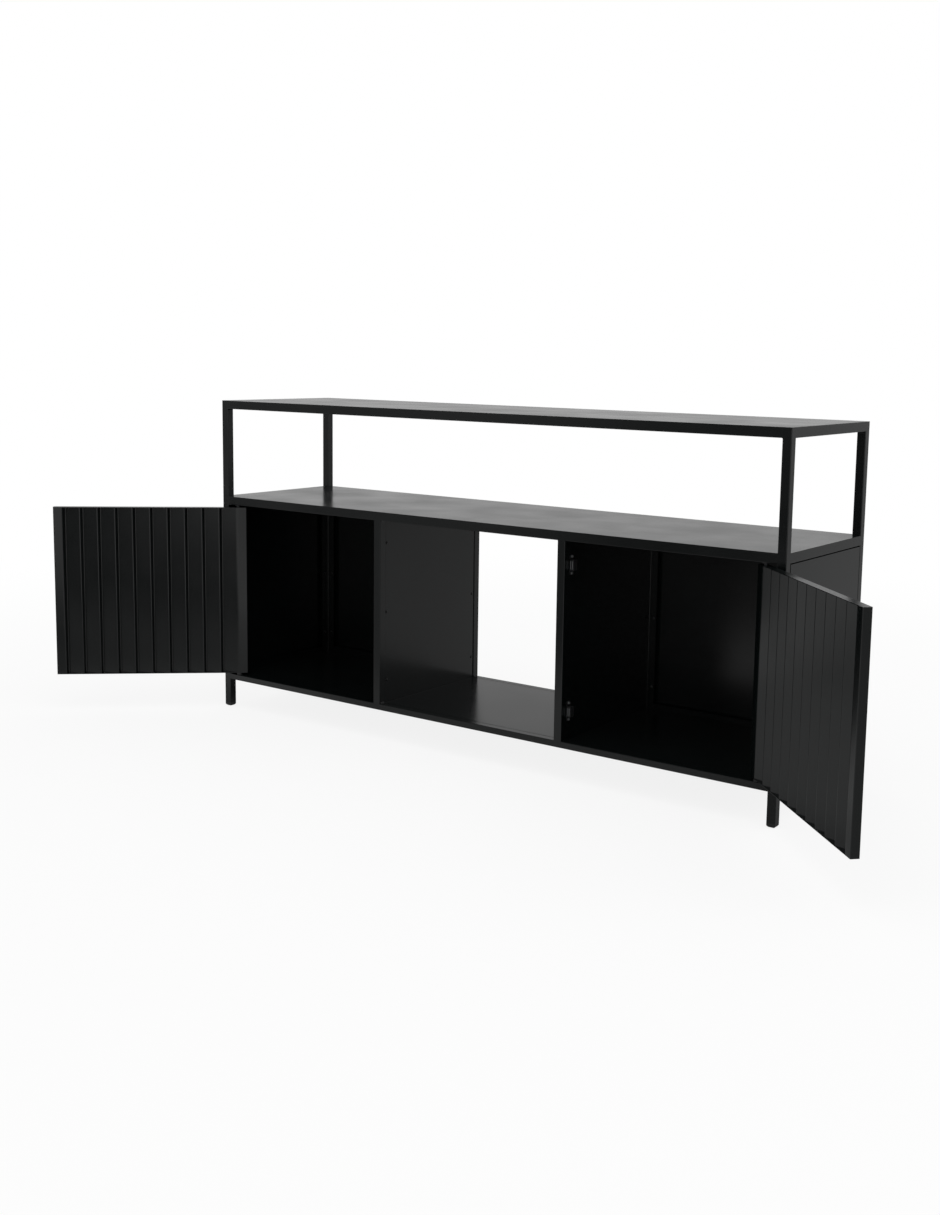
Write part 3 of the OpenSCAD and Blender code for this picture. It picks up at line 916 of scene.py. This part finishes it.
@dataclass
class ScrewSet:
    """All screws of a node in one piece, each seated like the plain screw that it stands for."""

    name: str
    node: str
    finish: Finish
    screw: PanHeadScrew
    touch: float = 0.1 * MM

    def build(self) -> None:
        """Builds the piece."""
        model = Bench.mesh("screw", self.screw.build())
        everything = bmesh.new()
        for place in self.places():
            part = bmesh.new()
            part.from_mesh(model)
            Bench.merge(everything, Bench.move(part, place))
        bpy.data.meshes.remove(model)
        Bench.piece(self.name, everything, self.finish, "frame", self.node)

    def places(self) -> list[Matrix]:
        """Reads the place and the direction of each plain screw from the node's loose parts.

        Returns:
            For each screw, the matrix that takes +z to its head's direction.
        """
        loose = bmesh.new()
        loose.from_mesh(node_mesh(self.node))
        bmesh.ops.remove_doubles(loose, verts=list(loose.verts), dist=TINY)
        places = []
        left = set(loose.verts)
        while left:
            group, edge = set(), {next(iter(left))}
            while edge:
                one = edge.pop()
                group.add(one)
                edge |= {e.other_vert(one) for e in one.link_edges} - group
            left -= group
            places.append(self.seat([v.co.copy() for v in group]))
        loose.free()
        return sorted(places, key=lambda m: tuple(round(x, 5) for x in m.translation))

    def seat(self, points: Sequence[Vector]) -> Matrix:
        """Reads one plain screw, whose head is its wider end.

        Args:
            points: its corners.

        Returns:
            Its matrix.
        """
        low, high = span(points)
        spans = high - low
        axis = min(range(3), key=lambda i: abs(spans[i] - self.screw.length - self.screw.rise))
        middle = (low + high) / 2
        reach = {}
        for end, level in ((-1, low[axis]), (1, high[axis])):
            near = [p for p in points if abs(p[axis] - level) < self.touch]
            reach[end] = max(math.sqrt(sum((p[i] - middle[i]) ** 2 for i in range(3) if i != axis))
                             for p in near)
        sign = 1 if reach[1] > reach[-1] else -1
        direction = Vector([sign if i == axis else 0 for i in range(3)])
        seat = middle.copy()
        seat[axis] = (high if sign > 0 else low)[axis] - sign * self.screw.rise
        return Matrix.Translation(seat) @ direction.to_track_quat("Z", "Y").to_matrix().to_4x4()


@dataclass
class MagneticCatches:
    """Four magnetic catches on the dividers, without their screws: each has a base plate with
    rounded ends, a housing, and a magnet between two pole plates."""

    edge: float = 1.2 * MM
    plate_end: float = 4.0 * MM
    plate_edge: float = 0.5 * MM
    seat_gap: float = 0.1 * MM
    seat_mouth: float = 1.0 * MM
    pole: float = 1.3 * MM
    pole_proud: float = 0.25 * MM
    pole_edge: float = 0.3 * MM
    core_inset: float = 0.2 * MM
    core_edge: float = 0.15 * MM

    def groups(self, node: str) -> list[Box]:
        """The boxes of the four copies in a catch node.

        Args:
            node: the node.

        Returns:
            The lowest and highest corner of each copy, from left to right, lower ones first.
        """
        points = [v.co.copy() for v in node_mesh(node).vertices]
        middle_x = sum(p.x for p in points) / len(points)
        middle_z = sum(p.z for p in points) / len(points)
        return [span([p for p in points if (p.x > middle_x) == right
                      and (p.z > middle_z) == upper])
                for right in (False, True) for upper in (False, True)]

    def build(self) -> None:
        """Builds the bodies, the magnets and the pole plates."""
        bodies, magnets, poles = bmesh.new(), bmesh.new(), bmesh.new()
        nodes = ("catch_plates", "catch_housings", "catch_magnets")
        for plate, housing, block in zip(*map(self.groups, nodes)):
            Bench.merge(bodies, self.base(plate))
            Bench.merge(bodies, self.housing(housing, block))
            Bench.merge(magnets, self.magnet(block))
            for side in (-1, 1):
                Bench.merge(poles, self.pole_plate(block, side))
        Bench.piece("catch_bodies", bodies, CATCH_PLASTIC, "frame", "catch_plates",
                    "catch_housings")
        Bench.piece("catch_magnet_cores", magnets, GLIDE_PLASTIC, "frame", "catch_magnets")
        Bench.piece("catch_pole_plates", poles, ZINC_STEEL, "frame")

    def base(self, box: Box) -> Solid:
        """The base plate.

        Args:
            box: its corners.

        Returns:
            The plate, with rounded ends.
        """
        low, high = box
        plate = Bench.block(low, high)
        ends = [e for e in plate.edges if abs((e.verts[0].co - e.verts[1].co).x) > TINY]
        Bench.bevel(plate, ends, self.plate_end, 6)
        Bench.soften(plate, self.plate_edge, least=70.0)
        return plate

    def housing(self, box: Box, block: Box) -> Solid:
        """The housing with its seat for the magnet.

        Args:
            box: its corners.
            block: the magnet's corners.

        Returns:
            The housing.
        """
        low, high = box
        body = Bench.block(low, high, self.edge, 3)
        gap = self.seat_gap
        seat_low = Vector((block[0].x - gap, low.y - self.seat_mouth, block[0].z - gap))
        seat_high = Vector((block[1].x + gap, block[1].y + gap, block[1].z + gap))
        return Bench.cut(body, Bench.block(seat_low, seat_high))

    def magnet(self, block: Box) -> Solid:
        """The magnet's core, a little behind the pole plates.

        Args:
            block: the corners of magnet and plates together.

        Returns:
            The core.
        """
        low = block[0] + Vector((self.pole, self.pole_proud, self.core_inset))
        high = block[1] - Vector((self.pole, 0, self.core_inset))
        return Bench.block(low, high, self.core_edge, 1)

    def pole_plate(self, block: Box, side: int) -> Solid:
        """A pole plate on one side of the magnet.

        Args:
            block: the corners of magnet and plates together.
            side: -1 for lower x, 1 for higher x.

        Returns:
            The plate.
        """
        low, high = block[0].copy(), block[1].copy()
        if side < 0:
            high.x = low.x + self.pole
        else:
            low.x = high.x - self.pole
        return Bench.block(low, high, self.pole_edge, 2)


@dataclass
class GroundWelds:
    """Weld metal ground flush in the shallow grooves that the rounded tube edges leave where
    faces meet, so that the welded frame reads as one.

    From heel to feather, the fields place a strip's corners as shares of the edge radius.
    """

    lines: CabinetLines
    corner: float = 1.5 * MM
    crown: float = 0.015 * MM
    root: float = 1.0 * MM
    heel: float = 0.35
    crown_start: float = 0.15
    crown_end: float = 1.05
    toe: float = 1.3
    root_end: float = 0.7
    feather: float = 0.08

    def strip(self, groove: Groove) -> Solid:
        """The strip of metal in a groove.

        Args:
            groove: both ends, on the line where the two faces would meet, the way from that
                line towards the rounded edge in the flush face, and the way into the tube.

        Returns:
            The strip.
        """
        start, end, along, inward = (Vector(v) for v in groove)
        r = self.corner
        section = [(-self.heel * r, self.feather * r), (-self.crown_start * r, -self.crown),
                   (self.crown_end * r, -self.crown), (self.toe * r, self.feather * r),
                   (self.root_end * r, self.root), (-self.heel * r, self.root)]
        strip = Bench.loft(*([point + along * a + inward * b for a, b in section]
                             for point in (start, end)))
        bmesh.ops.recalc_face_normals(strip, faces=list(strip.faces))
        return strip

    def build(self) -> None:
        """Builds every strip in one piece."""
        welds = bmesh.new()
        for groove in self.post_grooves() + self.divider_grooves() + self.deck_grooves():
            Bench.merge(welds, self.strip(groove))
        Bench.piece("ground_welds", welds, TUBE_COAT, "frame", crease=60.0)

    def levels(self) -> list[Point]:
        """The lower and upper level of the base, shelf and top rails."""
        return [(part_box(name)[0].z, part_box(name)[1].z)
                for name in ("base_front_rail", "shelf_front_rail", "top_front_rail")]

    def post_grooves(self) -> list[Groove]:
        """Where the rails meet the corner posts, on the outer faces.

        Returns:
            Their grooves.
        """
        found = []
        c, t = self.lines, self.lines.tube
        for low, high in self.levels():
            foot = low + self.corner
            for x, sx in c.ends():
                for y, sy in c.faces():
                    found.append(((x + sx * t, y, foot), (x + sx * t, y, high),
                                  (-sx, 0, 0), (0, sy, 0)))
                    found.append(((x, y + sy * t, foot), (x, y + sy * t, high),
                                  (0, -sy, 0), (sx, 0, 0)))
        return found

    def divider_grooves(self) -> list[Groove]:
        """Where the divider posts stand on the base rails and meet the shelf rails.

        Returns:
            Their grooves.
        """
        found = []
        (_, sill), (lintel, _), _ = self.levels()
        r = self.corner
        for word in ("left", "right"):
            low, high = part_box(f"{word}_divider_front_post")
            for y, sy in self.lines.faces():
                for z, up in ((sill, -1), (lintel, 1)):
                    found.append(((low.x + r, y, z), (high.x - r, y, z), (0, 0, up), (0, sy, 0)))
        return found

    def deck_grooves(self) -> list[Groove]:
        """Under the edges of the top sheet and the shelf sheet.

        Returns:
            Their grooves.
        """
        found = []
        c, t, down = self.lines, self.lines.tube, (0, 0, -1)
        for name in ("shelf_front_rail", "top_front_rail"):
            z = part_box(name)[1].z
            for y, sy in c.faces():
                found.append(((c.left + t, y, z), (c.right - t, y, z), down, (0, sy, 0)))
            for x, sx in c.ends():
                found.append(((x, c.front + t, z), (x, c.rear - t, z), down, (sx, 0, 0)))
        return found


# ------------------------ studio


@dataclass
class Camera:
    """The camera, from the front right and a little above the top."""

    place: Spot = (1.96642, -2.60386, 0.95013)
    turn: Spot = (82.1225, -0.929, 35.7691)
    lens: float = 41.8846
    sensor: float = 36.0
    shift: Point = (-0.03152, -0.04949)
    sight: float = 200.0

    def build(self) -> None:
        """Makes the scene's camera."""
        data = bpy.data.cameras.new("camera")
        data.lens = self.lens
        data.sensor_width = self.sensor
        data.sensor_fit = "AUTO"
        data.shift_x, data.shift_y = self.shift
        data.clip_end = self.sight
        camera = put("camera", data)
        camera.location = self.place
        camera.rotation_euler = [math.radians(a) for a in self.turn]
        bpy.context.scene.camera = camera


@dataclass(frozen=True)
class SoftLamp:
    """A soft square lamp, with its power in watts."""

    name: str
    place: Spot
    aim: Spot
    size: float
    power: float

    def build(self) -> None:
        """Hangs the lamp and turns it to its aim."""
        data = bpy.data.lights.new(self.name, "AREA")
        data.shape = "SQUARE"
        data.size = self.size
        data.energy = self.power
        lamp = put(self.name, data)
        lamp.location = self.place
        way = Vector(self.aim) - Vector(self.place)
        lamp.rotation_euler = way.to_track_quat("-Z", "Y").to_euler()


@dataclass
class Studio:
    """A plain white floor and surround that are greyer in reflections, and soft lamps.

    The surround's shades are given all round, as a share of a turn anticlockwise from the
    rear (0.25 is the left, 0.5 the front, 0.75 the right) and a brightness. They are scaled
    by the first number of rise at the horizon and by the second one from rise_top upwards.
    The apron is the floor close in front, with one brightness of its own in reflections.
    """

    floor_reach: float = 30.0
    floor_colour: Colour = (0.84, 0.84, 0.84)
    mottle: float = 0.97
    mottle_scale: float = 40.0
    near_backing: float = 0.86
    near_floor: Point = (1.2, 3.6)
    mirrored_backing: float = 0.3
    sky: float = 0.8
    rise: Point = (1.42, 0.66)
    rise_top: float = 0.3
    apron: Spot = (0.0, -0.45, 0.0)
    apron_edge: Point = (0.5, 0.75)
    apron_level: float = 0.54
    shades: tuple[Point, ...] = (
        (0.0, 0.47), (0.075, 0.56), (0.13, 0.57), (0.225, 0.17), (0.27, 0.45), (0.305, 0.84),
        (0.335, 0.58), (0.365, 0.27), (0.385, 0.27), (0.403, 0.45), (0.42, 0.15), (0.46, 0.05),
        (0.48, 0.06), (0.5, 0.8), (0.53, 1.0), (0.58, 0.75), (0.64, 0.5), (0.7, 0.34),
        (0.9, 0.41), (1.0, 0.47))
    lamps: tuple[SoftLamp, ...] = (
        SoftLamp("overhead_softbox", (0.6, -0.8, 3.6), (0.0, 0.0, 0.4), 2.4, 30.0),
        SoftLamp("side_softbox", (3.4, 1.2, 2.2), (0.2, 0.0, 0.4), 1.8, 14.0))

    def surround(self, graph: Graph, place: Socket) -> Socket:
        """How bright the surround is in a direction from the middle of the part.

        Args:
            graph: the nodes.
            place: the direction.

        Returns:
            The brightness.
        """
        x, y, _ = graph.axes(place)
        turn = graph.math("ARCTAN2", x, graph.math("MULTIPLY", -1.0, y))
        node = graph.add("ValToRGB")
        graph.join(graph.remap(turn, (-math.pi, math.pi), (0.0, 1.0)), node.inputs[0])
        ramp = node.color_ramp
        ramp.interpolation = "EASE"
        for at, level in self.shades[1:-1]:
            ramp.elements.new(at)
        for element, (at, level) in zip(ramp.elements, self.shades):
            element.position = at
            element.color = (level, level, level, 1.0)
        return node.outputs[0]

    def rays(self, graph: Graph) -> tuple[Socket, Socket]:
        """Which rays ask.

        Args:
            graph: the nodes.

        Returns:
            One for camera rays, and one for glossy and transmission rays.
        """
        path = graph.add("LightPath")
        mirrored = graph.math("MAXIMUM", path.outputs["Is Glossy Ray"],
                              path.outputs["Is Transmission Ray"])
        return path.outputs["Is Camera Ray"], mirrored

    def build_world(self) -> None:
        """The surround: white to the camera, shaded in reflections, plain for soft light."""
        world = bpy.data.worlds.new("surround")
        world.use_nodes = True
        bpy.context.scene.world = world
        graph = Graph(world.node_tree)
        camera, mirrored = self.rays(graph)
        way = graph.add("TexCoord").outputs["Generated"]
        lift = graph.remap(graph.axes(way)[2], (0.0, self.rise_top), self.rise)
        level = graph.math("MULTIPLY", self.surround(graph, way), lift)
        soft = graph.math("SUBTRACT", 1.0, graph.math("MAXIMUM", camera, mirrored))
        shown = graph.math("ADD", camera, graph.math("MULTIPLY", mirrored, level))
        background = graph.add("Background")
        background.inputs["Color"].default_value = (1, 1, 1, 1)
        strength = graph.math("MULTIPLY_ADD", soft, self.sky, shown)
        graph.join(strength, background.inputs["Strength"])
        graph.end("OutputWorld", background.outputs[0])

    def floor_material(self) -> bpy.types.Material:
        """The floor's material: white paint that keeps the shadow, and fades into the surround.

        Returns:
            The material.
        """
        material = bpy.data.materials.new("white_floor")
        material.use_nodes = True
        graph = Graph(material.node_tree)
        position = graph.add("NewGeometry").outputs["Position"]
        camera, mirrored = self.rays(graph)
        lost = graph.math("SUBTRACT", 1.0, self.floor_shade(graph, position))
        dimmed = graph.math("SUBTRACT", 1.0, graph.math("MULTIPLY", mirrored, lost))
        paint = graph.add("BsdfDiffuse")
        shade = tuple(self.mottle * c for c in self.floor_colour)
        cloudy = graph.blend(graph.noise(position, self.mottle_scale), self.floor_colour, shade)
        tinted = graph.add("VectorMath", operation="SCALE")
        graph.join(cloudy, tinted.inputs[0])
        graph.join(dimmed, tinted.inputs["Scale"])
        graph.join(tinted.outputs[0], paint.inputs["Color"])
        glow = graph.add("Emission")
        glow.inputs["Color"].default_value = (1, 1, 1, 1)
        graph.join(dimmed, glow.inputs["Strength"])
        reach = graph.distance(position)
        far = graph.remap(reach, self.near_floor, (self.near_backing, 1.0), True)
        share = graph.math("ADD", graph.math("MULTIPLY", camera, far),
                           graph.math("MULTIPLY", mirrored, self.mirrored_backing))
        mix = graph.add("MixShader")
        graph.fill(mix, [share, paint.outputs[0], glow.outputs[0]])
        graph.end("OutputMaterial", mix.outputs[0])
        return material

    def floor_shade(self, graph: Graph, position: Socket) -> Socket:
        """How bright the floor is in reflections: the apron close by, the surround beyond it.

        Args:
            graph: the nodes.
            position: the point of the floor.

        Returns:
            The brightness.
        """
        apart = graph.distance(position, self.apron)
        close = graph.remap(apart, self.apron_edge, (1.0, 0.0), True)
        around = self.surround(graph, position)
        change = graph.math("SUBTRACT", self.apron_level, around)
        return graph.math("MULTIPLY_ADD", close, change, around)

    def build_floor(self) -> None:
        """The floor."""
        r = self.floor_reach
        mesh = bpy.data.meshes.new("studio_floor")
        mesh.from_pydata([(-r, -r, 0), (r, -r, 0), (r, r, 0), (-r, r, 0)], [], [(0, 1, 2, 3)])
        mesh.materials.append(self.floor_material())
        floor = put("studio_floor", mesh)

    def build(self) -> None:
        """Builds the surround, the floor and the lamps."""
        self.build_world()
        self.build_floor()
        for lamp in self.lamps:
            lamp.build()
        bpy.context.scene.view_settings.view_transform = "Standard"


def main() -> None:
    """Builds the dressed part and its studio, and reports each piece."""
    LOG.addHandler(logging.StreamHandler(sys.stdout))
    LOG.setLevel(logging.INFO)
    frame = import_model()
    Camera().build()
    CarriedNodes(frame).dress()
    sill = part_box("left_door_pan")[0].z
    pivots = {joint["child"]: Vector((*joint["pos_m"][:2], 0)) for joint in frame["joints"]}
    for side, angle in OPEN_ANGLES.items():
        ReededDoor(side, angle, pivots[f"{side.word}_door"], sill).build()
    screw = PanHeadScrew()
    ScrewSet("panel_pan_screws", "panel_screws", BLACK_SCREW, screw).build()
    MagneticCatches().build()
    ScrewSet("catch_pan_screws", "catch_screws", ZINC_STEEL, screw).build()
    GroundWelds(CabinetLines.read()).build()
    Studio().build()


if __name__ == "__main__":
    main()
